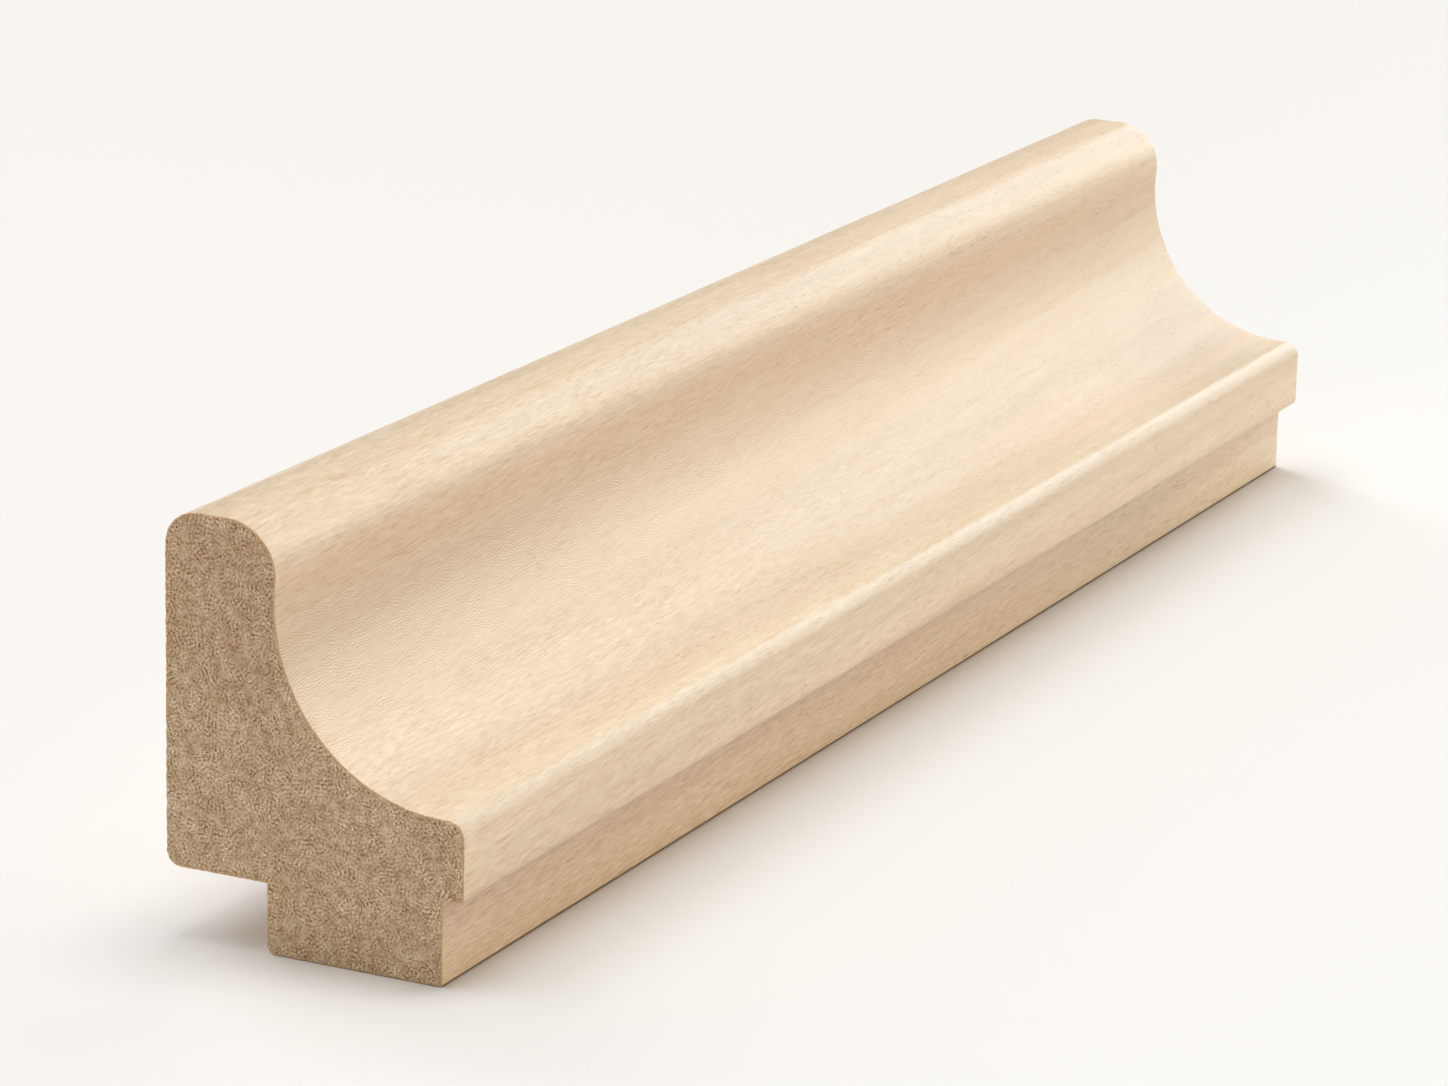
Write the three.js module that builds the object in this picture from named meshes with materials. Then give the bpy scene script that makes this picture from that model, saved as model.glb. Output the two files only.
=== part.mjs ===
// A straight length of wooden moulding, cut square at both ends.
//
// The moulding stands on its tongue. X runs along its length, its moulded face looks towards -Y,
// its flat back towards +Y, and Z points up. The origin is under the middle of its bounding box,
// level with the foot of the tongue. All sizes are in millimetres.

import * as THREE from 'three';

// The whole moulding
const LENGTH = 234;
const HEIGHT = 45;
const DEPTH = 34.3; // from the back face to the front of the lip

// Crown: the rounded top, and its nose that overhangs the cove
const CROWN_THICKNESS = 12.8; // from the back face to the front of the nose
const NOSE_RADIUS = 5.6;
const BACK_TOP_RADIUS = 3.7;

// Lip: the square band below the cove
const LIP_UNDERSIDE = 9.15; // above the foot of the tongue
const LIP_THICKNESS = 8.45; // from its underside to its ledge
const LEDGE_WIDTH = 0.45; // level strip between the foot of the cove and the rounding of the lip
const LIP_TOP_RADIUS = 1.95;
const LIP_BOTTOM_RADIUS = 0.5;

// Tongue: the bar underneath, between the rebate in the back and the step below the lip
const REBATE_DEPTH = 11.8; // from the back face to the tongue
const REBATE_HEIGHT = 7.5; // from the foot of the tongue up to the underside of the back
const LIP_OVERHANG = 2.35; // how far the lip stands out over the tongue
const BACK_BOTTOM_RADIUS = 1.75;
const TONGUE_BACK_RADIUS = 0.9;
const TONGUE_FRONT_RADIUS = 0.4;

// Each round stretch of the profile is drawn with twice this many straight steps
const ARC_STEPS = 10;

const WOOD_COLOUR = '#e3cbaa';
const WOOD_ROUGHNESS = 0.55;

const RIGHT = 0;
const UP = Math.PI / 2;
const LEFT = Math.PI;
const DOWN = -Math.PI / 2;

/**
 * The cove is the one circle that touches the ledge of the lip at a given depth and also touches
 * the circle of the nose from outside.
 */
function coveCircle(nose, footY, ledgeZ) {
	const across = nose.y - footY;
	const rise = nose.z - ledgeZ;
	const radius = (across * across + rise * rise - NOSE_RADIUS * NOSE_RADIUS) / (2 * (NOSE_RADIUS + rise));
	return { y: footY, z: ledgeZ + radius, radius };
}

/** The cross-section in the YZ plane, drawn from the foot of the back over the crown and down the front. */
function mouldingProfile() {
	const back = DEPTH / 2;
	const front = -DEPTH / 2;
	const ledge = LIP_UNDERSIDE + LIP_THICKNESS;
	const tongueBack = back - REBATE_DEPTH;
	const tongueFront = front + LIP_OVERHANG;
	const coveFoot = front + LIP_TOP_RADIUS + LEDGE_WIDTH;

	const nose = { y: back - CROWN_THICKNESS + NOSE_RADIUS, z: HEIGHT - NOSE_RADIUS };
	const cove = coveCircle(nose, coveFoot, ledge);
	const neck = Math.atan2(cove.z - nose.z, cove.y - nose.y); // from the nose's centre to the cove's

	const profile = new THREE.Shape();
	profile.moveTo(back, REBATE_HEIGHT + BACK_BOTTOM_RADIUS);
	profile.absarc(back - BACK_TOP_RADIUS, HEIGHT - BACK_TOP_RADIUS, BACK_TOP_RADIUS, RIGHT, UP, false);
	profile.absarc(nose.y, nose.z, NOSE_RADIUS, UP, neck, false);
	profile.absarc(cove.y, cove.z, cove.radius, neck + Math.PI, DOWN, true);
	profile.absarc(front + LIP_TOP_RADIUS, ledge - LIP_TOP_RADIUS, LIP_TOP_RADIUS, UP, LEFT, false);
	profile.absarc(
		front + LIP_BOTTOM_RADIUS, LIP_UNDERSIDE + LIP_BOTTOM_RADIUS, LIP_BOTTOM_RADIUS, LEFT, DOWN, false,
	);
	profile.lineTo(tongueFront, LIP_UNDERSIDE);
	profile.absarc(
		tongueFront + TONGUE_FRONT_RADIUS, TONGUE_FRONT_RADIUS, TONGUE_FRONT_RADIUS, LEFT, DOWN, false,
	);
	profile.absarc(tongueBack - TONGUE_BACK_RADIUS, TONGUE_BACK_RADIUS, TONGUE_BACK_RADIUS, DOWN, RIGHT, false);
	profile.lineTo(tongueBack, REBATE_HEIGHT);
	profile.absarc(
		back - BACK_BOTTOM_RADIUS, REBATE_HEIGHT + BACK_BOTTOM_RADIUS, BACK_BOTTOM_RADIUS, DOWN, RIGHT, false,
	);
	return profile;
}

/** The profile run along X, from the near end at -X to the far end at +X. */
function moulding() {
	const geometry = new THREE.ExtrudeGeometry(mouldingProfile(), {
		depth: LENGTH,
		bevelEnabled: false,
		curveSegments: ARC_STEPS,
	});
	const wood = new THREE.MeshStandardMaterial({
		color: WOOD_COLOUR,
		roughness: WOOD_ROUGHNESS,
		metalness: 0,
	});
	const mesh = new THREE.Mesh(geometry, wood);
	mesh.name = 'moulding';
	// Turns the drawing's X, Y and depth into the part's Y, Z and X
	mesh.rotation.set(Math.PI / 2, Math.PI / 2, 0);
	mesh.position.set(-LENGTH / 2, 0, 0);
	return mesh;
}

const group = new THREE.Group();
group.add(moulding());

export default group;
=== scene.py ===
"""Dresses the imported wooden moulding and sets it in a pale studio.

The moulding stands on its tongue. +X runs along its length, -Y comes out of its moulded face and +Z points
up. Every length is in metres; MM turns a size given in millimetres into metres.
"""

import logging
import math
from dataclasses import dataclass
from enum import Enum

import bmesh
import bpy
import numpy as np
from mathutils import Matrix, Vector
from mathutils.geometry import delaunay_2d_cdt


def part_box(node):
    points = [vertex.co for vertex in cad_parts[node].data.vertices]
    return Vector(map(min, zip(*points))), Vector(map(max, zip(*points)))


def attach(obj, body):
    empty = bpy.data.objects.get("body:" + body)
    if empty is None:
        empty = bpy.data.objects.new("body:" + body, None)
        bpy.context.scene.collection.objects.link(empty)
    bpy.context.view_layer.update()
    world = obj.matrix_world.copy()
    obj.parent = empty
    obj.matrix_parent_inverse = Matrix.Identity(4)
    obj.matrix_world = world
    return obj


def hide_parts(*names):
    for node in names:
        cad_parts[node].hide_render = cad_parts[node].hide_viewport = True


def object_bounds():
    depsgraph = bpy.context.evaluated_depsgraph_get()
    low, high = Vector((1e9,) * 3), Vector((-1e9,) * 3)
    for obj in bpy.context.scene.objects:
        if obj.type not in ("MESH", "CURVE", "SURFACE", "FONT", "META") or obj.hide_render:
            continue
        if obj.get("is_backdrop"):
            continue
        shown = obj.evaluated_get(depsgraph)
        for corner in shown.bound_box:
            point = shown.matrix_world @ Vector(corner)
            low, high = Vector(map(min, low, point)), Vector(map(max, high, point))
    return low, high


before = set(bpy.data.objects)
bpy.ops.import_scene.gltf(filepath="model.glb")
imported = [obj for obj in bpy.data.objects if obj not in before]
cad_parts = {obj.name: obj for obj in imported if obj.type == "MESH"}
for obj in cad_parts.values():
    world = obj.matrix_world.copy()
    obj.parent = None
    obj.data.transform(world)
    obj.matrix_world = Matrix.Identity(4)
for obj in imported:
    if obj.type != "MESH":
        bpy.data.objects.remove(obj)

MM = 0.001
CUBIC_CM = 1e-6
CAD_NODE = "moulding"
ROOT_BODY = "root"
PHOTO_WIDTH_PX = 1448
SENSOR_WIDTH_MM = 36.0
QUARTER = math.pi / 2

# Sockets that share their name with another one of their node, by their place on it
MIX_FACTOR, MIX_FIRST, MIX_SECOND, MIX_RESULT = 0, 6, 7, 2
COMPARE_FIRST, COMPARE_SECOND = 2, 3
STROKE_HEADING = 4

Colour = tuple[float, float, float, float]
Size = tuple[float, float, float]
Point = tuple[float, float]
Curve = tuple[Point, ...]
Inputs = dict[str | int, object]
Settings = dict[str, object]

log = logging.getLogger("moulding")


def in_mm(*points: Point) -> Curve:
    """The points of a curve whose places are given in millimetres."""
    return tuple((place * MM, result) for place, result in points)


class Reading(Enum):
    """What the mesh tells the finishes and the node tree."""

    INSET = "inset"  # how far a point of a sawn end lies inside the outline; 0 on the run
    GIRTH = "girth"  # how far round the outline a point of the run lies
    SAWN = "sawn"  # 1 on the faces of the two sawn ends


@dataclass(frozen=True)
class Layer:
    """One layer of noise, which can also be read as spots."""

    size: Size  # of its features along X, Y and Z
    detail: float = 2.0  # how many finer layers it holds
    roughness: float = 0.5  # how strong those are
    shift: float = 0.0  # moves the pattern, so that no two layers are alike
    levels: Point = (0.0, 1.0)  # of the noise, between which the spots rise
    results: Point = (0.0, 1.0)  # what the spots give at the two levels


@dataclass(frozen=True)
class Strokes:
    """Short even strokes side by side in the patches of a pattern in X and Y."""

    patch: Point  # the patches' sizes along X and Y
    shift: float  # moves the pattern
    order: float = 0.0  # 0 where the strokes lie every way, 1 where they all lie the same way
    heading: float = 0.0  # the way across strokes in order, in radians from X
    count: float = 2.0  # how many strokes lie side by side in a patch


class Value:
    """One output of a node tree, to which operators and methods add the nodes that read it."""

    SHIFT_WAY: Size = (1.0, 1.7, -0.6)  # the way in which a pattern's shift moves it

    def __init__(self, board: "Board", socket: bpy.types.NodeSocket) -> None:
        """Remembers the tree and the socket."""
        self.board = board
        self.socket = socket

    def __add__(self, other: "Term") -> "Value":
        """self + other."""
        return self.board.math("ADD", self, other)

    def __radd__(self, other: "Term") -> "Value":
        """other + self."""
        return self.board.math("ADD", other, self)

    def __sub__(self, other: "Term") -> "Value":
        """self - other."""
        return self.board.math("SUBTRACT", self, other)

    def __rsub__(self, other: "Term") -> "Value":
        """other - self."""
        return self.board.math("SUBTRACT", other, self)

    def __mul__(self, other: "Term") -> "Value":
        """self * other."""
        return self.board.math("MULTIPLY", self, other)

    def __rmul__(self, other: "Term") -> "Value":
        """other * self."""
        return self.board.math("MULTIPLY", other, self)

    def __truediv__(self, other: "Term") -> "Value":
        """self / other."""
        return self.board.math("DIVIDE", self, other)

    def __abs__(self) -> "Value":
        """abs(self)."""
        return self.board.math("ABSOLUTE", self)

    def parts(self) -> tuple["Value", ...]:
        """The X, Y and Z of a vector."""
        made = self.board.node("ShaderNodeSeparateXYZ", {0: self})
        return tuple(self.board.value(made, index) for index in range(3))

    def scale(self, factor: "Term") -> "Value":
        """A vector times a factor."""
        return self.board.first("ShaderNodeVectorMath", {0: self, "Scale": factor}, {"operation": "SCALE"})

    def turn(self, axis: str, angle: float) -> "Value":
        """A place turned round one axis of the part by an angle in radians."""
        spin = {"rotation_type": f"{axis}_AXIS"}
        return self.board.first("ShaderNodeVectorRotate", {"Vector": self, "Angle": angle}, spin)

    def step(self, low: float, high: float, at_low: float = 0.0, at_high: float = 1.0) -> "Value":
        """A smooth step: at_low up to the level low and at_high from the level high."""
        inputs = {"Value": self, "From Min": low, "From Max": high, "To Min": at_low, "To Max": at_high}
        settings = {"interpolation_type": "SMOOTHSTEP", "clamp": True}
        return self.board.first("ShaderNodeMapRange", inputs, settings)

    def fall(self, low: float, high: float) -> "Value":
        """1 up to low, 0 from high and smooth between them."""
        return self.step(low, high, 1.0, 0.0)

    def through(self, points: Curve) -> "Value":
        """A smooth curve through points of (place, result), level before the first and after the last."""
        pairs = zip(points, points[1:])
        return sum((self.step(low[0], high[0], 0.0, high[1] - low[1]) for low, high in pairs), points[0][1])

    def noise(self, layer: Layer) -> "Value":
        """A layer of noise at this place, around 0.5."""
        return self.board.value(self._noise_node(layer), 0)

    def spots(self, layer: Layer) -> "Value":
        """A layer of noise at this place as spots."""
        return self.noise(layer).step(*layer.levels, *layer.results)

    def wander(self, layer: Layer, reach: float) -> "Value":
        """This place moved to and fro by a layer of noise, by up to a reach."""
        away = self.board.vector("SUBTRACT", self.board.value(self._noise_node(layer), 1), (0.5, 0.5, 0.5))
        return self.board.vector("ADD", self, away.scale(2 * reach))

    def strokes(self, look: Strokes) -> "Value":
        """The strokes of a pattern at this place, around 0.5."""
        inputs = {
            "Vector": self._patterned((*look.patch, 1.0), look.shift),
            "Scale": 1.0,
            "Frequency": look.count,
            "Anisotropy": look.order,
            STROKE_HEADING: look.heading,
        }
        return self.board.first("ShaderNodeTexGabor", inputs, {"gabor_type": "2D"})

    def _noise_node(self, layer: Layer) -> bpy.types.Node:
        """The Noise Texture node of a layer."""
        moved = self._patterned(layer.size, layer.shift)
        inputs = {"Vector": moved, "Scale": 1.0, "Detail": layer.detail, "Roughness": layer.roughness}
        return self.board.node("ShaderNodeTexNoise", inputs, {"noise_dimensions": "3D", "normalize": True})

    def _patterned(self, size: Size, shift: float) -> "Value":
        """This place counted in the features of a pattern, which its shift moves."""
        counted = self.board.vector("DIVIDE", self, size)
        return self.board.vector("ADD", counted, tuple(shift * way for way in self.SHIFT_WAY))


Term = Value | int | float


class Board:
    """A shader or geometry tree while it is being drawn."""

    def __init__(self, tree: bpy.types.NodeTree) -> None:
        """Remembers the tree."""
        self.tree = tree

    def node(
        self, kind: str, inputs: Inputs | None = None, settings: Settings | None = None
    ) -> bpy.types.Node:
        """Adds one node.

        Args:
            kind: The node's type name.
            inputs: Constants or Values for its sockets, by name or place.
            settings: Its own settings, which are set before the sockets.

        Returns:
            The new node.
        """
        made = self.tree.nodes.new(kind)
        for name, setting in (settings or {}).items():
            setattr(made, name, setting)
        for key, given in (inputs or {}).items():
            if isinstance(given, Value):
                self.tree.links.new(given.socket, made.inputs[key])
            else:
                made.inputs[key].default_value = given
        return made

    def value(self, made: bpy.types.Node, output: str | int = 0) -> Value:
        """One output of a node as a Value."""
        return Value(self, made.outputs[output])

    def first(self, kind: str, inputs: Inputs | None = None, settings: Settings | None = None) -> Value:
        """The first output of a new node."""
        return self.value(self.node(kind, inputs, settings))

    def math(self, operation: str, *terms: Term) -> Value:
        """A Math node on up to three terms."""
        return self.first("ShaderNodeMath", dict(enumerate(terms)), {"operation": operation})

    def vector(self, operation: str, *terms: object) -> Value:
        """A Vector Math node on up to three vectors."""
        return self.first("ShaderNodeVectorMath", dict(enumerate(terms)), {"operation": operation})

    def join(self, x: Term, y: Term, z: Term) -> Value:
        """A vector from its X, Y and Z."""
        return self.first("ShaderNodeCombineXYZ", {0: x, 1: y, 2: z})

    def blend(self, factor: Term, first: object, second: object, kind: str = "MIX") -> Value:
        """A colour mixed from two: the first at a factor of 0, the full effect of the second at 1."""
        inputs = {MIX_FACTOR: factor, MIX_FIRST: first, MIX_SECOND: second}
        settings = {"data_type": "RGBA", "blend_type": kind, "clamp_factor": True}
        return self.value(self.node("ShaderNodeMix", inputs, settings), MIX_RESULT)

    def shade(self, colour: object, amount: Value, cool: Term = 0.0) -> Value:
        """A colour made lighter or darker by a factor around 1, and cooler by a share of its blue."""
        tint = self.join(amount, amount * (1.0 + cool * 0.5), amount * (1.0 + cool))
        return self.blend(1.0, colour, tint, "MULTIPLY")

    def place(self) -> Value:
        """Where a point of the surface lies on the part."""
        return self.value(self.node("ShaderNodeTexCoord"), "Object")

    def reading(self, reading: Reading) -> Value:
        """What the mesh says of a point of the surface."""
        return self.value(self.node("ShaderNodeAttribute", None, {"attribute_name": reading.value}), "Fac")

    def bump(self, height: Value, distance: float) -> Value:
        """The way a surface faces where a height of 0 to 1 raises it by up to a distance."""
        return self.first("ShaderNodeBump", {"Strength": 1.0, "Distance": distance, "Height": height})

    def surface(self, shader: Value) -> None:
        """Gives the material its shader."""
        self.node("ShaderNodeOutputMaterial", {"Surface": shader})

    def together(self, *pieces: Value) -> Value:
        """Joins geometries.

        Args:
            pieces: The geometries, in their order.

        Returns:
            One geometry.
        """
        joined = self.node("GeometryNodeJoinGeometry")
        for piece in pieces:
            self.tree.links.new(piece.socket, joined.inputs[0])
        return self.value(joined)


def empty_material(name: str) -> tuple[bpy.types.Material, Board]:
    """Makes a material without nodes.

    Args:
        name: The material's name.

    Returns:
        The material and the board for its nodes.
    """
    made = bpy.data.materials.new(name)
    made.use_nodes = True
    made.node_tree.nodes.clear()
    return made, Board(made.node_tree)


class Pen:
    """Draws a closed outline of lines and arcs as points about a step apart."""

    CLOSE = 0.01  # of a step, under which two points count as one
    LEAST_ARC_STEPS = 4

    def __init__(self, step: float) -> None:
        """Starts with no points."""
        self.step = step
        self.points: list[Point] = []

    def line_to(self, goal: Point) -> None:
        """Draws a straight line from the last point, if there is one.

        Args:
            goal: Where the line ends.
        """
        if not self.points:
            self.points.append(goal)
            return
        begin = self.points[-1]
        length = math.dist(begin, goal)
        if length < self.step * self.CLOSE:
            return
        count = max(1, round(length / self.step))
        for index in range(1, count + 1):
            share = index / count
            spot = (begin[0] + (goal[0] - begin[0]) * share, begin[1] + (goal[1] - begin[1]) * share)
            self.points.append(spot)

    def arc(self, centre: Point, radius: float, start: float, turn: float) -> None:
        """Draws a line to the start of an arc and then the arc.

        Args:
            centre: The middle of its circle.
            radius: The circle's radius.
            start: The angle at which the arc starts, in radians.
            turn: How far it turns, anticlockwise if positive.
        """
        count = max(self.LEAST_ARC_STEPS, round(abs(turn) * radius / self.step))
        for index in range(count + 1):
            angle = start + turn * index / count
            spot = (centre[0] + radius * math.cos(angle), centre[1] + radius * math.sin(angle))
            if index == 0:
                self.line_to(spot)
            else:
                self.points.append(spot)

    def closed(self) -> np.ndarray:
        """The outline as rows of two numbers, closed by a last straight line."""
        self.line_to(self.points[0])
        return np.array(self.points[:-1])


@dataclass(frozen=True)
class Section:
    """The cross-section, from the part's height and depth and the sizes that shape it.

    A point of it is (y, z): y from the middle of the depth towards the flat back, z from the tongue's foot.
    """

    height: float
    depth: float
    crown_thickness: float = 12.8 * MM
    nose_radius: float = 5.6 * MM
    back_top_radius: float = 3.7 * MM
    lip_underside: float = 9.15 * MM
    lip_thickness: float = 8.45 * MM
    ledge_width: float = 0.45 * MM
    lip_top_radius: float = 1.95 * MM
    lip_bottom_radius: float = 0.5 * MM
    rebate_depth: float = 11.8 * MM
    rebate_height: float = 7.5 * MM
    lip_overhang: float = 2.35 * MM
    back_bottom_radius: float = 1.75 * MM
    tongue_back_radius: float = 0.9 * MM
    tongue_front_radius: float = 0.16 * MM

    def tongue_front(self) -> float:
        """The y of the tongue's front."""
        return self.lip_overhang - self.depth / 2

    def outline(self, step: float) -> np.ndarray:
        """The closed outline, from the corner of the rebate up the back, over the crown and down the front.

        Args:
            step: About how far apart its points lie.

        Returns:
            Rows of (y, z), anticlockwise as seen from +X.
        """
        back, front = self.depth / 2, -self.depth / 2
        right, up, left, down = 0.0, QUARTER, 2 * QUARTER, 3 * QUARTER
        ledge = self.lip_underside + self.lip_thickness
        tongue_back, tongue_front = back - self.rebate_depth, self.tongue_front()

        nose = (back - self.crown_thickness + self.nose_radius, self.height - self.nose_radius)
        cove_y = front + self.lip_top_radius + self.ledge_width
        across, rise = nose[0] - cove_y, nose[1] - ledge
        cove_radius = (across**2 + rise**2 - self.nose_radius**2) / (2 * (self.nose_radius + rise))
        cove = (cove_y, ledge + cove_radius)
        neck = math.atan2(cove[1] - nose[1], cove[0] - nose[0]) % (2 * math.pi)

        pen = Pen(step)
        pen.line_to((tongue_back, self.rebate_height))
        corner = self.back_bottom_radius
        pen.arc((back - corner, self.rebate_height + corner), corner, down, QUARTER)
        corner = self.back_top_radius
        pen.arc((back - corner, self.height - corner), corner, right, QUARTER)
        pen.arc(nose, self.nose_radius, up, neck - up)
        pen.arc(cove, cove_radius, neck - math.pi, -(neck + QUARTER) + math.pi)
        corner = self.lip_top_radius
        pen.arc((front + corner, ledge - corner), corner, up, QUARTER)
        corner = self.lip_bottom_radius
        pen.arc((front + corner, self.lip_underside + corner), corner, left, QUARTER)
        pen.line_to((tongue_front, self.lip_underside))
        corner = self.tongue_front_radius
        pen.arc((tongue_front + corner, corner), corner, left, QUARTER)
        corner = self.tongue_back_radius
        pen.arc((tongue_back - corner, corner), corner, down, QUARTER)
        return pen.closed()


@dataclass(frozen=True)
class EndBlank:
    """One sawn end as a sheet of triangles with its arris rounded over, its flat face at x = 0 facing -X."""

    INSIDE_ONLY = 1  # leaves out the triangles outside the border

    section: Section
    arris: float = 0.14 * MM
    edge_step: float = 0.21 * MM
    field_step: float = 0.215 * MM
    ring_insets: tuple[float, ...] = (0.05 * MM, 0.14 * MM, 0.26 * MM)
    ring_margin: float = 0.7  # of a field step, kept free inside the last ring
    jitter: float = 0.2  # of a field step
    seed: int = 11
    touching: float = 1e-7  # the distance under which points count as one

    def build(self) -> bpy.types.Object:
        """Makes the sheet.

        Returns:
            An object whose mesh says of each point how far in and how far round it lies.
        """
        outline = self.section.outline(self.edge_step)
        inward = self._inward(outline)
        rings = [outline + inward * inset for inset in self.ring_insets]
        field_points = self._field(outline, self.ring_insets[-1] + self.field_step * self.ring_margin)
        flat = [Vector(point) for point in np.concatenate([outline, *rings, field_points])]
        border = list(range(len(outline)))
        spots, _, faces, *_ = delaunay_2d_cdt(flat, [], [border], self.INSIDE_ONLY, self.touching)
        flat = np.array([tuple(spot) for spot in spots])
        inset = self._depth(flat, outline)
        inset[inset < self.touching] = 0.0
        short = np.clip(self.arris - inset, 0.0, None)
        drop = self.arris - np.sqrt(np.clip(self.arris**2 - short**2, 0.0, None))
        steps = np.linalg.norm(np.diff(outline, axis=0), axis=1)
        travelled = np.concatenate([[0.0], np.cumsum(steps)])
        girth = np.zeros(len(flat))
        for index in np.flatnonzero(inset == 0.0):
            girth[index] = travelled[np.argmin(((outline - flat[index]) ** 2).sum(1))]

        mesh = bpy.data.meshes.new("end_blank")
        mesh.from_pydata(np.column_stack([drop, flat]).tolist(), [], [list(face)[::-1] for face in faces])
        for reading, found in ((Reading.INSET, inset), (Reading.GIRTH, girth)):
            stored = mesh.attributes.new(reading.value, "FLOAT", "POINT")
            stored.data.foreach_set("value", found.astype(np.float32))
        blank = bpy.data.objects.new("end_blank", mesh)
        bpy.context.scene.collection.objects.link(blank)
        return blank

    @staticmethod
    def _inward(outline: np.ndarray) -> np.ndarray:
        """Finds the way into the section at each point of its outline.

        Args:
            outline: Rows of (y, z), anticlockwise.

        Returns:
            A vector for each point, 1 long across the edges beside it.
        """
        along = np.roll(outline, -1, 0) - outline
        along /= np.linalg.norm(along, axis=1)[:, None]
        left = np.stack([-along[:, 1], along[:, 0]], 1)
        both = left + np.roll(left, 1, 0)
        return both / (both**2).sum(1)[:, None] * 2

    def _field(self, outline: np.ndarray, margin: float) -> np.ndarray:
        """Lays a jittered triangular grid inside the outline.

        Args:
            outline: Rows of (y, z).
            margin: How far inside the outline the grid stays.

        Returns:
            Rows of (y, z).
        """
        low, high = outline.min(0), outline.max(0)
        rise = self.field_step * math.sqrt(3) / 2
        rows = np.arange(low[1], high[1], rise)
        columns = np.arange(low[0], high[0], self.field_step)
        y, z = np.meshgrid(columns, rows)
        y = y + (np.arange(len(rows)) % 2)[:, None] * self.field_step / 2
        grid = np.stack([y.ravel(), z.ravel()], 1)
        moves = np.random.default_rng(self.seed).uniform(-self.jitter, self.jitter, grid.shape)
        grid += moves * self.field_step
        return grid[self._depth(grid, outline) > margin]

    @staticmethod
    def _depth(points: np.ndarray, outline: np.ndarray) -> np.ndarray:
        """Measures how far inside the outline each point lies.

        Args:
            points: Rows of (y, z).
            outline: The outline's own rows.

        Returns:
            A distance for each point, negative outside.
        """
        nearest = np.full(len(points), np.inf)
        side = np.full(len(points), -1.0)
        for start, end in zip(outline, np.roll(outline, -1, 0)):
            edge = end - start
            ahead = points - start
            gap = ahead - np.clip((ahead @ edge) / (edge @ edge), 0.0, 1.0)[:, None] * edge
            nearest = np.minimum(nearest, (gap**2).sum(1))
            if edge[1] != 0.0:
                beside = points[:, 0] < start[0] + ahead[:, 1] * edge[0] / edge[1]
                spans = (start[1] > points[:, 1]) != (end[1] > points[:, 1])
                side[spans & beside] *= -1.0
        return np.sqrt(nearest) * side


@dataclass(frozen=True)
class Grain:
    """The wood's own pattern along its run, read by the finish and by the relief of the mesh."""

    slope: float = math.radians(2.8)
    band: Layer = Layer((420 * MM, 7 * MM, 6 * MM), 1.0, 0.4, 3.1)
    streak: Layer = Layer((60 * MM, 1.3 * MM, 1.1 * MM), 3.0, 0.55, 7.7)
    fibre: Layer = Layer((2.4 * MM, 0.23 * MM, 0.23 * MM), 2.0, 0.5, 1.3)
    wisp: Layer = Layer((3.4 * MM, 0.42 * MM, 0.42 * MM), 2.0, 0.6, 11.3)
    pore: Layer = Layer((2.0 * MM, 0.11 * MM, 0.11 * MM), 1.0, 0.5, 9.3, (0.58, 0.74))
    flock: Layer = Layer((14 * MM, 2.4 * MM, 2.0 * MM), 1.0, 0.5, 5.9, (0.35, 0.65))
    straight: Strokes = Strokes((1.3 * MM, 0.54 * MM), 4.4, 0.88, QUARTER)
    curly: Strokes = Strokes((0.95 * MM, 0.6 * MM), 9.8, 0.55, QUARTER)
    curled: Layer = Layer((8 * MM, 3 * MM, 3 * MM), 1.0, 0.5, 2.9, (0.4, 0.6))
    rippled: Layer = Layer((8 * MM, 3 * MM, 3 * MM), 1.0, 0.5, 8.1, (0.3, 0.7), (0.45, 1.1))
    bend: Layer = Layer((3 * MM, 1.5 * MM, 1.0), 1.0, 0.5, 2.2)
    bend_reach: float = 0.12 * MM
    flat_ripple: float = 0.13  # how strong the ripples are on the flats, against 1 in the hollow
    hollow_foot: Point = (19.5 * MM, 27 * MM)
    hollow_top: Point = (31 * MM, 38 * MM)
    growth: Curve = in_mm(
        (6, 1.05), (12, 1.0), (15, 0.93), (18, 0.97), (22, 1.04), (28, 1.08), (33, 1.04), (38, 0.98),
        (45, 0.96),
    )

    def turned(self, place: Value) -> Value:
        """The place turned so that its X runs along the fibres."""
        return place.turn("Y", self.slope)

    def unrolled(self, place: Value, girth: Value) -> Value:
        """The place on the unrolled face, its X along the fibres and its Y round the outline."""
        x, _, _ = place.parts()
        return place.board.join(x, girth + x * math.tan(self.slope), 0.0)

    def growth_shade(self, along: Value) -> Value:
        """The shade of the growth layers, which lie across the section one above the other."""
        _, _, height = along.parts()
        return height.through(self.growth)

    def hollow(self, place: Value) -> Value:
        """1 in the hollow of the cove, where the strokes of fibre are strongest, and 0 on the flats."""
        _, _, height = place.parts()
        return height.step(*self.hollow_foot) * height.fall(*self.hollow_top)

    def pores(self, along: Value) -> Value:
        """1 in the short open pores, which lie in loose flocks."""
        return along.spots(self.pore) * along.spots(self.flock)

    def ripples(self, along: Value, unrolled: Value, hollow: Value) -> Value:
        """Draws short strokes of fibre in straight and in curly patches; the finish paints them into the
        colour only.

        Args:
            along: The place along the fibres.
            unrolled: The place on the unrolled face.
            hollow: 1 in the hollow and 0 on the flats.

        Returns:
            The strokes, around 0, which are strongest in the hollow.
        """
        bent = unrolled.wander(self.bend, self.bend_reach)
        curled = along.spots(self.curled)
        straight, curly = bent.strokes(self.straight) - 0.5, bent.strokes(self.curly) - 0.5
        strength = along.spots(self.rippled) * (hollow * (1.0 - self.flat_ripple) + self.flat_ripple)
        return (straight * (1.0 - curled) + curly * curled) * strength


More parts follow.
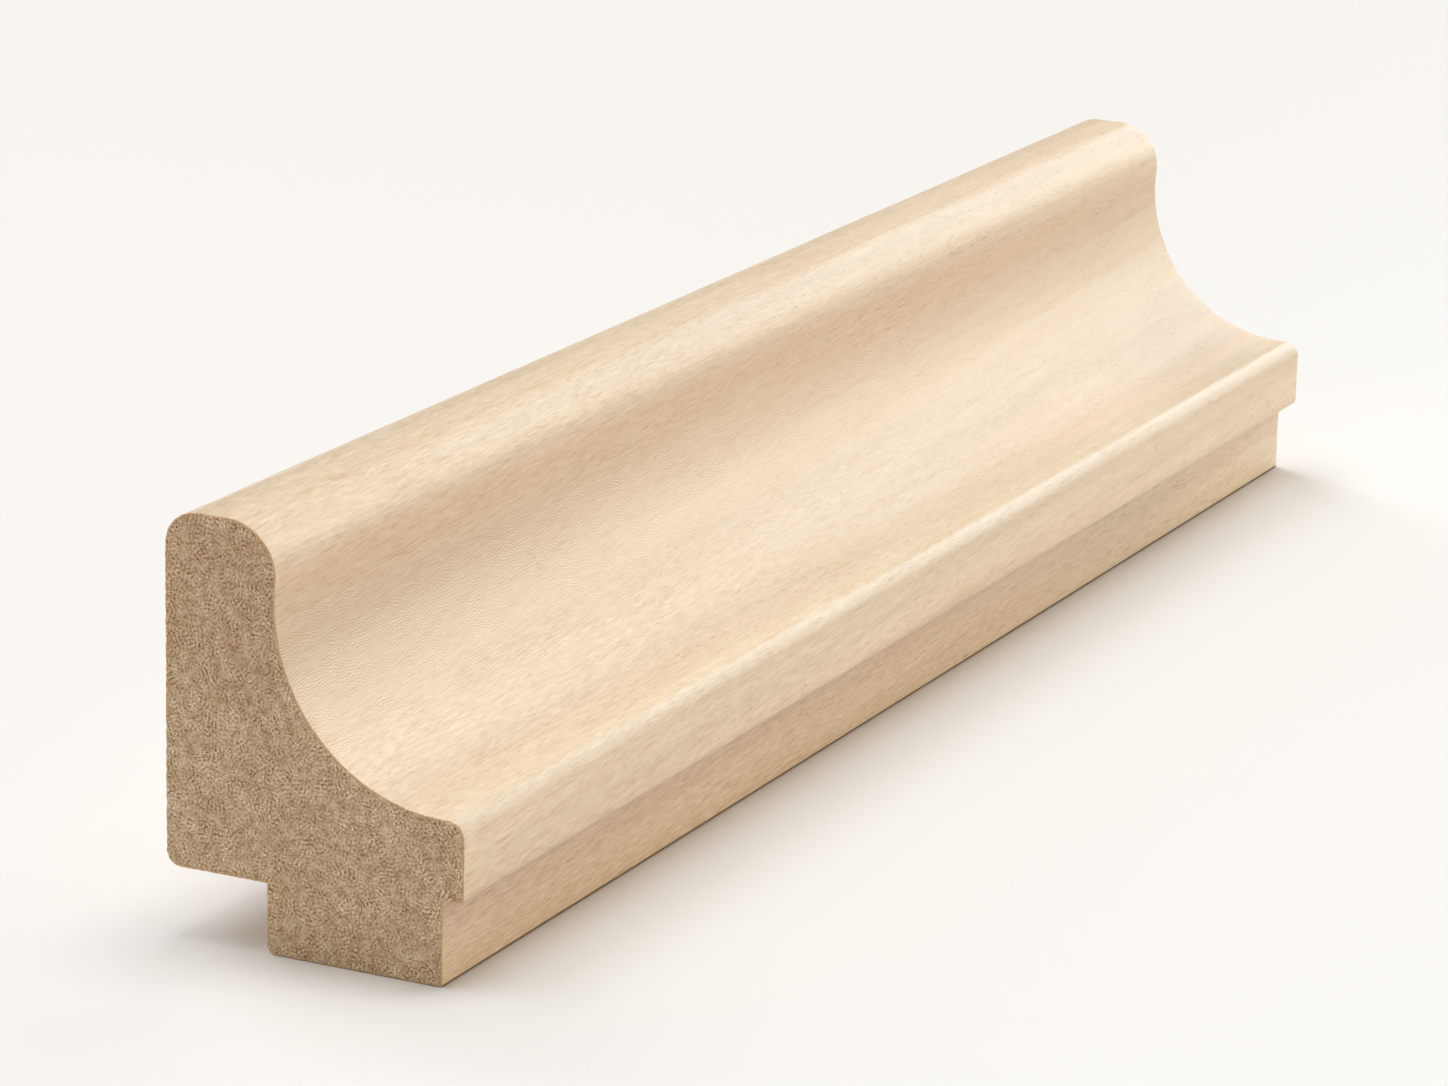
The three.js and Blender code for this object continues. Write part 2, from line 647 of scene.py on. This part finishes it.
@dataclass(frozen=True)
class SawnFibres:
    """The felt of short cut fibres on an end, read by the finish and by the relief of the mesh."""

    strand: Strokes = Strokes((1.15 * MM, 1.15 * MM), 6.1, count=2.5)
    fine: Strokes = Strokes((0.7 * MM, 0.7 * MM), 14.7, count=2.5)
    fine_part: float = 0.45
    bend: Layer = Layer((1.5 * MM, 1.5 * MM, 1.0), 1.0, 0.5, 1.9)
    bend_reach: float = 0.12 * MM
    pit: Layer = Layer((6 * MM, 0.36 * MM, 0.36 * MM), 1.0, 0.5, 8.8, (0.64, 0.78))
    lump: Layer = Layer((6 * MM, 0.75 * MM, 0.75 * MM), 2.0, 0.6, 5.2)
    patch: Layer = Layer((30 * MM, 2.2 * MM, 2.2 * MM), 1.0, 0.5, 4.7, (0.35, 0.65), (0.7, 1.2))
    cloud: Layer = Layer((30 * MM, 4 * MM, 4 * MM), 2.0, 0.5, 2.6)
    ray: Layer = Layer((30 * MM, 1.3 * MM, 6 * MM), 2.0, 0.55, 3.3)
    ray_slant: float = math.radians(40)

    def strands(self, place: Value) -> Value:
        """The pale strands that curl over each other and the gaps between them, around 0.5."""
        flat = place.board.join(*place.parts()[1:], 0.0).wander(self.bend, self.bend_reach)
        return flat.strokes(self.strand) * (1.0 - self.fine_part) + flat.strokes(self.fine) * self.fine_part

    def clouds(self, place: Value) -> Value:
        """Soft lighter and darker areas and slanting rays, around 0.5."""
        rays = place.turn("X", self.ray_slant).noise(self.ray)
        return place.noise(self.cloud) * 0.5 + rays * 0.5


@dataclass(frozen=True)
class PaintedLightAndShade:
    """Painted light and shade: the moulded face and the crown painted lighter, darker, cooler or warmer.

    The curves of the ledge and the crown read y, the runs and crown_run read x, and the others read z. The
    near end lies at -X. Its curves and those of the far end say how much darker or warmer the colour is
    painted there. None of it is the wood's own colour: it stands in for light and shade the lamps don't
    give.
    """

    # where the painted light and shade of the face fade out towards the flat back
    back_edge: Point = (12.5 * MM, 16.5 * MM)
    # painted light and shade up the face: a painted shadow under the lip, painted light on the lip's face
    face: Curve = in_mm(
        (1, 1.07), (4, 1.01), (6.2, 0.91), (8.6, 0.8), (9, 0.8), (9.4, 1.0), (11, 1.13), (13.2, 1.14),
        (14.4, 1.16), (15.6, 1.11), (16.8, 0.9), (17.5, 1.0), (20, 1.015), (22, 1.0), (24, 0.96), (29, 0.98),
        (34, 1.01), (38, 1.01), (39.6, 1.04), (40.8, 0.99), (42.8, 1.03),
    )
    # the hue of the painted light and shade: cooler or warmer by height
    face_cool: Curve = in_mm(
        (1, 0.0), (4, -0.02), (8, -0.08), (10, 0.03), (14, 0.06), (15.5, 0.04), (16.8, -0.03), (17.5, 0.1),
        (18.2, 0.02), (20, 0.0), (25, -0.01), (28, -0.02), (33, -0.02), (38, -0.03), (41, 0.0),
    )
    # a painted highlight on the ledge, behind the lip's rounded top
    ledge: Curve = in_mm((-16.6, 1.0), (-14.7, 1.1), (-11.5, 1.05), (-9, 1.0))
    ledge_height: Point = (14 * MM, 17 * MM)
    # painted light and shade across the crown, darker towards its back edge
    crown: Curve = in_mm((6.5, 1.0), (9.5, 1.05), (11.5, 0.99), (13, 0.88))
    # painted shade at the near end: the crown and the cove painted darker, warmer or cooler
    near_crown: Curve = in_mm((7.4, 0.0), (9.2, 0.075), (11.2, 0.1), (13, 0.05))
    near_face: Curve = in_mm(
        (10, 0.02), (12.5, 0.065), (17, 0.08), (18.2, 0.02), (21, -0.055), (24, 0.01), (26.5, 0.12),
        (31, 0.12), (36, 0.08), (41, 0.02),
    )
    near_warm: Curve = in_mm((16, 0.03), (21, -0.03), (25, 0.02), (30, 0.035), (38, 0.03))
    near_run: Point = (-105 * MM, -15 * MM)
    # painted shade that dims the crown's highlight towards the far end
    far_crown: Curve = in_mm((5.2, 0.02), (7.2, 0.15), (9.2, 0.06), (11, 0.01))
    crown_run: Curve = in_mm((-80, 0.0), (-10, 0.6), (70, 0.6), (100, 1.0))
    # at the far end: painted light on the tongue, painted shade and warmth over the low cove's glare
    far_face: Curve = in_mm(
        (7.5, -0.17), (9, 0.0), (16, 0.0), (17, 0.08), (18.5, 0.17), (20, 0.06), (27, 0.0)
    )
    far_run: Point = (60 * MM, 105 * MM)
    far_warm: Curve = in_mm(
        (7.5, -0.13), (9, -0.02), (14.5, -0.05), (17.5, 0.04), (18.2, 0.26), (19.7, 0.17), (21.5, 0.09),
        (25, 0.03), (28, -0.05), (33, -0.05), (37, 0.0),
    )
    warm_run: Point = (0.0, 95 * MM)

    def read(self, place: Value) -> tuple[Value, Value]:
        """Reads the painted light and shade at a place.

        Args:
            place: The place that is read.

        Returns:
            The painted lightness there, around 1, and the share by which it is painted cooler.
        """
        x, y, z = place.parts()
        near_end = x.fall(*self.near_run)
        moulded = y.fall(*self.back_edge)
        on_ledge = 1.0 + (y.through(self.ledge) - 1.0) * z.step(*self.ledge_height)
        near = 1.0 - z.through(self.near_face) * near_end
        far = 1.0 - z.through(self.far_face) * x.step(*self.far_run)
        face = 1.0 + (z.through(self.face) * on_ledge * near * far - 1.0) * moulded
        near_crown = 1.0 - y.through(self.near_crown) * near_end
        far_crown = 1.0 - y.through(self.far_crown) * x.through(self.crown_run)
        warm = z.through(self.far_warm) * x.step(*self.warm_run) + z.through(self.near_warm) * near_end
        cool = (z.through(self.face_cool) - warm) * moulded
        return face * y.through(self.crown) * near_crown * far_crown, cool


@dataclass(frozen=True)
class PlanedFinish:
    """The pale long faces: bands, streaks, fibres, pores, a soft sheen and painted light and shade.

    A pair of tones or heights holds the strength on the flats and the one in the hollow.
    """

    grain: Grain
    half_length: float
    tongue_front: float
    painted_shades: PaintedLightAndShade = PaintedLightAndShade()
    name: str = "planed_wood"
    pale: Colour = (0.815, 0.625, 0.422, 1.0)
    warm: Colour = (0.755, 0.563, 0.365, 1.0)
    deep_tint: Colour = (0.86, 0.78, 0.68, 1.0)
    light_tint: Colour = (1.14, 1.22, 1.32, 1.0)
    pore_brown: Colour = (0.42, 0.21, 0.085, 1.0)
    arris_brown: Colour = (0.47, 0.27, 0.12, 1.0)
    # painted contact shadow: dark brown on the tongue's lowest front arris, where the floor's shadow lies
    contact_shadow_brown: Colour = (0.16, 0.07, 0.025, 1.0)
    warm_streaks: float = 0.35  # the streaks' part in the warmth, the rest being the bands'
    warm_levels: Point = (0.36, 0.68)
    streak_tone: Point = (1.0, 0.7)
    fibre_tone: Point = (1.25, 1.0)
    wisp_tone: Point = (1.1, 0.8)
    pore_tone: Point = (0.55, 0.3)
    # the ripples in the colour: partly the grain's own strokes, partly painted light and shade of raised
    # fibres
    ripple_tone: float = 5.4
    fibre_height: float = 0.4
    wisp_height: Point = (0.5, 0.2)
    streak_run: Curve = in_mm((-90, 0.75), (0, 1.05), (90, 1.0))
    ripple_run: Curve = in_mm((-80, 1.0), (0, 0.6), (110, 0.4))
    fibre_run: Curve = in_mm((-70, 1.0), (0, 0.78), (110, 0.5))
    fibre_rise: Curve = in_mm((8.6, 1.28), (9.6, 0.92), (18, 0.95), (22, 1.04))
    raised: Curve = in_mm(
        (15, 0.6), (16.2, 0.3), (18.6, 0.3), (21, 0.6), (28, 0.7), (34, 0.45), (40, 0.5), (43, 0.8)
    )
    arris_reach: Point = (0.02 * MM, 0.16 * MM)
    arris_tone: float = 0.7
    # where the painted contact shadow lies: up the tongue's foot, and back from its front
    contact_shadow_height: Point = (0.1 * MM, 0.34 * MM)
    contact_shadow_reach: Point = (0.2 * MM, 0.4 * MM)
    relief: float = 0.1 * MM
    roughness: float = 0.44
    roughness_spread: float = 0.2
    ior: float = 1.57
    specular: float = 1.0

    def material(self) -> bpy.types.Material:
        """Builds the material.

        Returns:
            The new material.
        """
        made, board = empty_material(self.name)
        place = board.place()
        x, y, z = place.parts()
        along = self.grain.turned(place)
        hollow = self.grain.hollow(place)
        bands, streaks = along.noise(self.grain.band), along.noise(self.grain.streak)
        fibres, wisps = along.noise(self.grain.fibre) - 0.5, along.noise(self.grain.wisp) - 0.5
        pores = self.grain.pores(along)
        unrolled = self.grain.unrolled(place, board.reading(Reading.GIRTH))
        ripples = self.grain.ripples(along, unrolled, hollow) * x.through(self.ripple_run)
        calmed = x.through(self.fibre_run) * z.through(self.fibre_rise)

        warmth = bands * (1.0 - self.warm_streaks) + streaks * self.warm_streaks
        colour = board.blend(warmth.step(*self.warm_levels), self.pale, self.warm)
        streaked = (streaks - 0.5) * self._at(hollow, self.streak_tone) * x.through(self.streak_run)
        fine = fibres * self._at(hollow, self.fibre_tone) + wisps * self._at(hollow, self.wisp_tone)
        tone = 0.5 + streaked + (fine + ripples * self.ripple_tone) * calmed
        colour = board.blend(1.0, colour, board.blend(tone, self.deep_tint, self.light_tint), "MULTIPLY")
        colour = board.blend(pores * self._at(hollow, self.pore_tone), colour, self.pore_brown)
        # painted light and shade of this length, by place
        light, cool = self.painted_shades.read(place)
        colour = board.shade(colour, self.grain.growth_shade(along) * light, cool)
        at_arris = (self.half_length - abs(x)).fall(*self.arris_reach)
        colour = board.blend(at_arris * self.arris_tone, colour, self.arris_brown)

        height = fibres * self.fibre_height + wisps * self._at(hollow, self.wisp_height)
        planed = {
            "Base Color": colour,
            "Roughness": self.roughness + (fibres + pores) * self.roughness_spread,
            "IOR": self.ior,
            "Specular IOR Level": self.specular,
            "Normal": board.bump(height * z.through(self.raised) * calmed, self.relief),
        }
        # a matt dark brown mixed in along the tongue's front foot: a painted contact shadow
        matt = {"Base Color": self.contact_shadow_brown, "Roughness": 1.0, "Specular IOR Level": 0.0}
        at_contact_shadow = z.fall(*self.contact_shadow_height) * (y - self.tongue_front).fall(*self.contact_shadow_reach)
        sheen, painted_contact_shadow = (board.first("ShaderNodeBsdfPrincipled", inputs) for inputs in (planed, matt))
        board.surface(board.first("ShaderNodeMixShader", {0: at_contact_shadow, 1: sheen, 2: painted_contact_shadow}))
        return made

    @staticmethod
    def _at(hollow: Value, pair: Point) -> Value:
        """The pair's first number on the flats and its second in the hollow."""
        return pair[0] - hollow * (pair[0] - pair[1])


@dataclass(frozen=True)
class SawnFinish:
    """The two sawn ends: felted cut fibres, open pores and a golden-brown arris."""

    fibres: SawnFibres
    name: str = "sawn_wood"
    strand_tan: Colour = (1.0, 0.815, 0.60, 1.0)
    gap_brown: Colour = (0.37, 0.19, 0.07, 1.0)
    pit_brown: Colour = (0.2, 0.11, 0.05, 1.0)
    cloud_tint: Colour = (0.72, 0.66, 0.58, 1.0)
    clear_tint: Colour = (1.26, 1.30, 1.36, 1.0)
    arris_brown: Colour = (0.70, 0.46, 0.24, 1.0)
    felt_level: float = 0.43
    strand_tone: float = 2.1
    rim_tone: float = 0.6  # by how much the strands are stronger along the outline
    rim: Point = (0.32 * MM, 1.6 * MM)
    pit_tone: float = 0.4
    top_rise: Point = (18 * MM, 42 * MM)
    top_shade: Point = (1.02, 0.94)
    top_cool: Point = (0.03, -0.03)
    arris_wander: float = 0.2 * MM
    arris_reach: Point = (0.133 * MM, 0.285 * MM)
    arris_tone: float = 0.85
    pit_depth: float = 0.5
    relief: float = 0.2 * MM
    roughness: float = 0.78
    specular: float = 0.15

    def material(self) -> bpy.types.Material:
        """Builds the material.

        Returns:
            The new material.
        """
        made, board = empty_material(self.name)
        place = board.place()
        _, _, z = place.parts()
        inset = board.reading(Reading.INSET)
        strands = self.fibres.strands(place) - 0.5
        pits, patches = place.spots(self.fibres.pit), place.spots(self.fibres.patch)
        lumps = place.noise(self.fibres.lump) - 0.5

        contrast = self.strand_tone + inset.fall(*self.rim) * self.rim_tone
        felt = self.felt_level + strands * contrast * patches + lumps
        colour = board.blend(felt, self.gap_brown, self.strand_tan)
        colour = board.blend(pits * self.pit_tone, colour, self.pit_brown)
        clouds = board.blend(self.fibres.clouds(place), self.cloud_tint, self.clear_tint)
        colour = board.blend(1.0, colour, clouds, "MULTIPLY")
        light = z.step(*self.top_rise, *self.top_shade)
        colour = board.shade(colour, light, z.step(*self.top_rise, *self.top_cool))
        at_arris = (inset + strands * self.arris_wander).fall(*self.arris_reach)
        colour = board.blend(at_arris * self.arris_tone, colour, self.arris_brown)
        sawn = {
            "Base Color": colour,
            "Roughness": self.roughness,
            "Specular IOR Level": self.specular,
            "Normal": board.bump(strands - pits * self.pit_depth, self.relief),
        }
        board.surface(board.first("ShaderNodeBsdfPrincipled", sawn))
        return made


@dataclass(frozen=True)
class MouldingRun:
    """The moulding itself: both sawn ends and the planed run between them, swept by Geometry Nodes."""

    section: Section
    length: float
    grain: Grain
    sawn_fibres: SawnFibres
    stations: int = 60
    weld: float = 0.001 * MM
    crease_angle: float = math.radians(50)
    raised_grain: float = 0.035 * MM
    band_part: float = 0.3  # of the bands in the raised grain, the rest being the streaks'
    low_levels: Point = (0.3, 0.7)
    wall_inset: Point = (0.0, 0.02 * MM)
    nick_depth: float = 0.1 * MM
    nick: Layer = Layer((4 * MM, 0.5 * MM, 0.5 * MM), 2.0, 0.6, 12.5, (0.4, 0.75))
    nick_run: Point = (0.1 * MM, 0.9 * MM)
    nick_inset: Point = (0.0, 0.3 * MM)
    saw_relief: float = 0.08 * MM
    saw_inset: Point = (0.05 * MM, 0.4 * MM)
    lump_levels: Point = (0.3, 0.75)
    pit_depth: float = 0.4

    def build(self) -> bpy.types.Object:
        """Sweeps the run and closes it with its ends.

        Returns:
            The finished object with its two materials.
        """
        blank = EndBlank(self.section)
        sheet = blank.build()
        planed = PlanedFinish(self.grain, self.length / 2, self.section.tongue_front()).material()
        sawn = SawnFinish(self.sawn_fibres).material()
        given = {
            "Length": ("Float", self.length),
            "Arris": ("Float", blank.arris),
            "Stations": ("Int", self.stations),
            "Raised Grain": ("Float", self.raised_grain),
            "Saw Relief": ("Float", self.saw_relief),
            "Nick Depth": ("Float", self.nick_depth),
            "Planed Wood": ("Material", planed),
            "Sawn Wood": ("Material", sawn),
        }
        tree = self._tree({"Blank": "Geometry"} | {name: kind for name, (kind, _) in given.items()})
        sweep = sheet.modifiers.new("Run", "NODES")
        sweep.node_group = tree
        for item in tree.interface.items_tree:
            if item.in_out == "INPUT" and item.name in given:
                sweep[item.identifier] = given[item.name][1]
        evaluated = sheet.evaluated_get(bpy.context.evaluated_depsgraph_get())
        mesh = bpy.data.meshes.new_from_object(evaluated)
        sheet.modifiers.remove(sweep)
        bpy.data.objects.remove(sheet)
        self._finish(mesh)
        mesh.name = "moulding_wood"
        piece = bpy.data.objects.new("moulding_wood", mesh)
        bpy.context.scene.collection.objects.link(piece)
        return piece

    def _finish(self, mesh: bpy.types.Mesh) -> None:
        """Turns every face outwards and marks the creases of the smooth mesh.

        Args:
            mesh: The swept mesh.
        """
        work = bmesh.new()
        work.from_mesh(mesh)
        bmesh.ops.recalc_face_normals(work, faces=work.faces)
        open_edges = sum(not edge.is_manifold for edge in work.edges)
        volume = work.calc_volume(signed=True) / CUBIC_CM
        log.info("mesh: %d faces, %d open edges, %.1f cm3", len(work.faces), open_edges, volume)
        work.to_mesh(mesh)
        work.free()
        mesh.polygons.foreach_set("use_smooth", [True] * len(mesh.polygons))
        mesh.set_sharp_from_angle(angle=self.crease_angle)

    def _tree(self, kinds: dict[str, str]) -> bpy.types.NodeTree:
        """Draws the node tree: two ends, the swept wall, their weld, the relief and the materials.

        Args:
            kinds: The names and kinds of its inputs.

        Returns:
            The new geometry tree.
        """
        tree = bpy.data.node_groups.new("moulding_run", "GeometryNodeTree")
        face = tree.interface
        for name, kind in kinds.items():
            face.new_socket(name, in_out="INPUT", socket_type=f"NodeSocket{kind}")
        face.new_socket("Geometry", in_out="OUTPUT", socket_type="NodeSocketGeometry")
        board = Board(tree)
        group = board.node("NodeGroupInput")
        given = {name: board.value(group, name) for name in kinds}
        half = given["Length"] * 0.5
        wall, ends = self._wall(board, given, half), self._ends(board, given["Blank"], half)
        weld = {0: board.together(wall, ends), "Distance": self.weld}
        shaped = self._relief(board, given, board.first("GeometryNodeMergeByDistance", weld))
        whole = board.first("GeometryNodeRealizeInstances", {0: shaped})
        planed = {0: whole, "Material": given["Planed Wood"]}
        sawn = {
            0: board.first("GeometryNodeSetMaterial", planed),
            "Selection": self._read(board, Reading.SAWN),
            "Material": given["Sawn Wood"],
        }
        board.node("NodeGroupOutput", {0: board.first("GeometryNodeSetMaterial", sawn)})
        return tree

    @staticmethod
    def _read(board: Board, reading: Reading) -> Value:
        """An attribute of the geometry as a field."""
        return board.first("GeometryNodeInputNamedAttribute", {0: reading.value}, {"data_type": "FLOAT"})

    @staticmethod
    def _ends(board: Board, blank: Value, half: Value) -> Value:
        """Sets the blank at -X and its mirror image at +X and marks both as sawn.

        Args:
            board: The tree that is drawn.
            blank: The sheet of one end.
            half: Half the length of the run.

        Returns:
            The two ends.
        """
        near = {0: blank, "Translation": board.join(half * -1.0, 0.0, 0.0)}
        far = {0: blank, "Translation": board.join(half, 0.0, 0.0), "Scale": (-1.0, 1.0, 1.0)}
        flipped = board.first("GeometryNodeFlipFaces", {0: board.first("GeometryNodeTransform", far)})
        both = board.together(flipped, board.first("GeometryNodeTransform", near))
        mark = {0: both, "Name": Reading.SAWN.value, "Value": 1.0}
        return board.first("GeometryNodeStoreNamedAttribute", mark, {"data_type": "FLOAT", "domain": "FACE"})

    @staticmethod
    def _wall(board: Board, given: dict[str, Value], half: Value) -> Value:
        """Sweeps the border of the blank along X, from arris to arris.

        Args:
            board: The tree that is drawn.
            given: The tree's inputs.
            half: Half the length of the run.

        Returns:
            The wall, open at both ends.
        """
        one_face = {COMPARE_FIRST: board.first("GeometryNodeInputMeshEdgeNeighbors"), COMPARE_SECOND: 1}
        border = board.first("FunctionNodeCompare", one_face, {"data_type": "INT", "operation": "EQUAL"})
        outline = board.first("GeometryNodeMeshToCurve", {0: given["Blank"], "Selection": border})
        x, y, z = board.first("GeometryNodeInputPosition").parts()
        flat = {0: outline, "Position": board.join(y * -1.0, z * -1.0, 0.0)}
        profile = board.first("GeometryNodeSetPosition", flat)
        reach = half - given["Arris"]
        line = {"Start": board.join(reach * -1.0, 0.0, 0.0), "End": board.join(reach, 0.0, 0.0)}
        rail = board.first("GeometryNodeCurvePrimitiveLine", line)
        rail = board.first("GeometryNodeResampleCurve", {0: rail, "Count": given["Stations"]})
        crowded = board.join(board.math("SINE", x / reach * QUARTER) * reach, 0.0, 0.0)
        rail = board.first("GeometryNodeSetPosition", {0: rail, "Position": crowded})
        swept = board.first("GeometryNodeCurveToMesh", {0: rail, 1: profile})
        return board.first("GeometryNodeFlipFaces", {0: swept})

    def _relief(self, board: Board, given: dict[str, Value], solid: Value) -> Value:
        """Lowers the wall between its raised fibres, nicks the arrises and carves the ends, always inwards.

        Args:
            board: The tree that is drawn.
            given: The tree's inputs.
            solid: The smooth solid.

        Returns:
            The solid with its relief.
        """
        place = board.first("GeometryNodeInputPosition")
        x, _, _ = place.parts()
        inset = self._read(board, Reading.INSET)
        along = self.grain.turned(place)
        bands, streaks = along.noise(self.grain.band), along.noise(self.grain.streak)
        low = (bands * self.band_part + streaks * (1.0 - self.band_part)).step(*self.low_levels)
        sunk = low * inset.fall(*self.wall_inset) * given["Raised Grain"]
        at_arris = (self.length / 2 - abs(x)).fall(*self.nick_run) * inset.fall(*self.nick_inset)
        nicked = place.spots(self.nick) * at_arris * given["Nick Depth"]
        sink = board.first("GeometryNodeInputNormal").scale((sunk + nicked) * -1.0)
        lumps, pits = place.noise(self.sawn_fibres.lump), place.spots(self.sawn_fibres.pit)
        depth = lumps.fall(*self.lump_levels) + pits * self.pit_depth
        carved = depth * inset.step(*self.saw_inset) * given["Saw Relief"]
        carve = board.join(carved * board.math("SIGN", x) * -1.0, 0.0, 0.0)
        moved = {0: solid, "Offset": board.vector("ADD", sink, carve)}
        return board.first("GeometryNodeSetPosition", moved)


@dataclass(frozen=True)
class Lamp:
    """A wide soft light that reaches every point from the same side. Its angles are in degrees."""

    name: str
    azimuth: float  # from +X towards +Y
    elevation: float
    strength: float
    tint: tuple[float, float, float]
    spread: float = 30.0

    def hang(self) -> None:
        """Adds the lamp to the scene."""
        lamp = bpy.data.lights.new(self.name, "SUN")
        lamp.energy = self.strength
        lamp.color = self.tint
        lamp.angle = math.radians(self.spread)
        hung = bpy.data.objects.new(self.name, lamp)
        hung.rotation_euler = (0.0, QUARTER - math.radians(self.elevation), math.radians(self.azimuth))
        bpy.context.scene.collection.objects.link(hung)


@dataclass(frozen=True)
class Studio:
    """A pale floor that fills the view, soft light from above and the camera at the photo's angle."""

    near_end_x: float
    back_y: float
    floor_half: float = 4.0
    # painted light and shade on the floor: front lighter than back, side and fore shades darker, evening out
    # the lamps
    floor_front: Colour = (0.812, 0.787, 0.757, 1.0)
    floor_back: Colour = (0.775, 0.744, 0.712, 1.0)
    floor_sweep: Point = (-60 * MM, 100 * MM)  # in y, from the front colour to the back
    floor_side: Point = (-20 * MM, 280 * MM)  # in x, where the side shade comes in
    side_shade: Point = (1.0, 0.97)
    floor_open: Point = (-110 * MM, -50 * MM)  # in y, where the fore shade goes out
    fore_shade: Point = (0.975, 1.0)
    floor_roughness: float = 0.9
    sky_colour: Colour = (0.1, 0.1, 0.1, 1.0)
    lamps: tuple[Lamp, ...] = (
        Lamp("zenith", 0, 82, 1.28, (0.97, 0.985, 1.0)),
        Lamp("back_high", 90, 60, 0.74, (0.90, 0.945, 1.0)),
        Lamp("back_left", 135, 60, 0.46, (1.0, 1.0, 0.98)),
        Lamp("back_right", 60, 35, 0.73, (0.88, 0.935, 1.0)),
        Lamp("back_low", 60, 15, 0.81, (0.98, 0.99, 1.0)),
        Lamp("far_low", 0, 15, 1.03, (0.865, 0.965, 1.0)),
        Lamp("far_front", 330, 15, 0.66, (1.0, 0.98, 0.89)),
        Lamp("front_high", 315, 60, 0.26, (1.0, 0.97, 0.93)),
        Lamp("front_low", 270, 15, 0.46, (1.0, 0.775, 0.515)),
        Lamp("near_low", 180, 15, 0.26, (1.0, 0.93, 0.8)),
    )
    focal_px: float = 5563.0
    behind_near_end: float = 456.4 * MM
    beside_back: float = 282.4 * MM
    eye_height: float = 192.3 * MM
    heading: float = math.radians(25.78)
    pitch: float = math.radians(15.66)
    roll: float = math.radians(1.28)
    clip: Point = (0.01, 50.0)

    def build(self) -> None:
        """Makes the floor, the light, the camera and the view's colours."""
        self._floor()
        self._light()
        self._camera()
        view = bpy.context.scene.view_settings
        view.view_transform = "Standard"
        view.look = "None"

    def _floor(self) -> None:
        """Lays a flat sheet at z = 0."""
        half = self.floor_half
        corners = [(-half, -half, 0.0), (half, -half, 0.0), (half, half, 0.0), (-half, half, 0.0)]
        mesh = bpy.data.meshes.new("studio_floor")
        mesh.from_pydata(corners, [], [(0, 1, 2, 3)])
        floor = bpy.data.objects.new("studio_floor", mesh)
        bpy.context.scene.collection.objects.link(floor)
        made, board = empty_material("studio_floor")
        x, y, _ = board.place().parts()
        swept = board.blend(y.step(*self.floor_sweep), self.floor_front, self.floor_back)
        side = x.step(*self.floor_side, *self.side_shade)
        fore = y.step(*self.floor_open, *self.fore_shade)
        matt = {
            "Base Color": board.shade(swept, side * fore),
            "Roughness": self.floor_roughness,
            "Specular IOR Level": 0.0,
        }
        board.surface(board.first("ShaderNodeBsdfPrincipled", matt))
        mesh.materials.append(made)
        floor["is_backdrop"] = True

    def _light(self) -> None:
        """Makes an even sky and hangs the lamps."""
        world = bpy.data.worlds.new("studio_sky")
        world.use_nodes = True
        world.node_tree.nodes["Background"].inputs["Color"].default_value = self.sky_colour
        bpy.context.scene.world = world
        for lamp in self.lamps:
            lamp.hang()

    def _camera(self) -> None:
        """Sets up the camera, level but for the photo's own small tilt."""
        lens = bpy.data.cameras.new("studio_camera")
        lens.sensor_width = SENSOR_WIDTH_MM
        lens.lens = SENSOR_WIDTH_MM * self.focal_px / PHOTO_WIDTH_PX
        lens.clip_start, lens.clip_end = self.clip
        camera = bpy.data.objects.new("studio_camera", lens)
        eye = (self.near_end_x - self.behind_near_end, self.back_y - self.beside_back, self.eye_height)
        stand = Matrix.Translation(eye) @ Matrix.Rotation(self.heading - QUARTER, 4, "Z")
        tilt = Matrix.Rotation(QUARTER - self.pitch, 4, "X") @ Matrix.Rotation(self.roll, 4, "Z")
        camera.matrix_world = stand @ tilt
        bpy.context.scene.collection.objects.link(camera)
        bpy.context.scene.camera = camera


def main() -> None:
    """Builds the moulding and its studio and reports them."""
    logging.basicConfig(level=logging.INFO, format="%(name)s: %(message)s")
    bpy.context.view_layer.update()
    low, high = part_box(CAD_NODE)
    section = Section(height=high[2] - low[2], depth=high[1] - low[1])
    run = MouldingRun(section, high[0] - low[0], Grain(), SawnFibres())
    piece = run.build()
    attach(piece, ROOT_BODY)
    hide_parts(CAD_NODE)
    log.info("%s: %d vertices", piece.name, len(piece.data.vertices))
    Studio(near_end_x=low[0], back_y=high[1]).build()
    log.info("studio: floor, sky, lamps and camera")
    low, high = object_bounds()


if __name__ == "__main__":
    main()
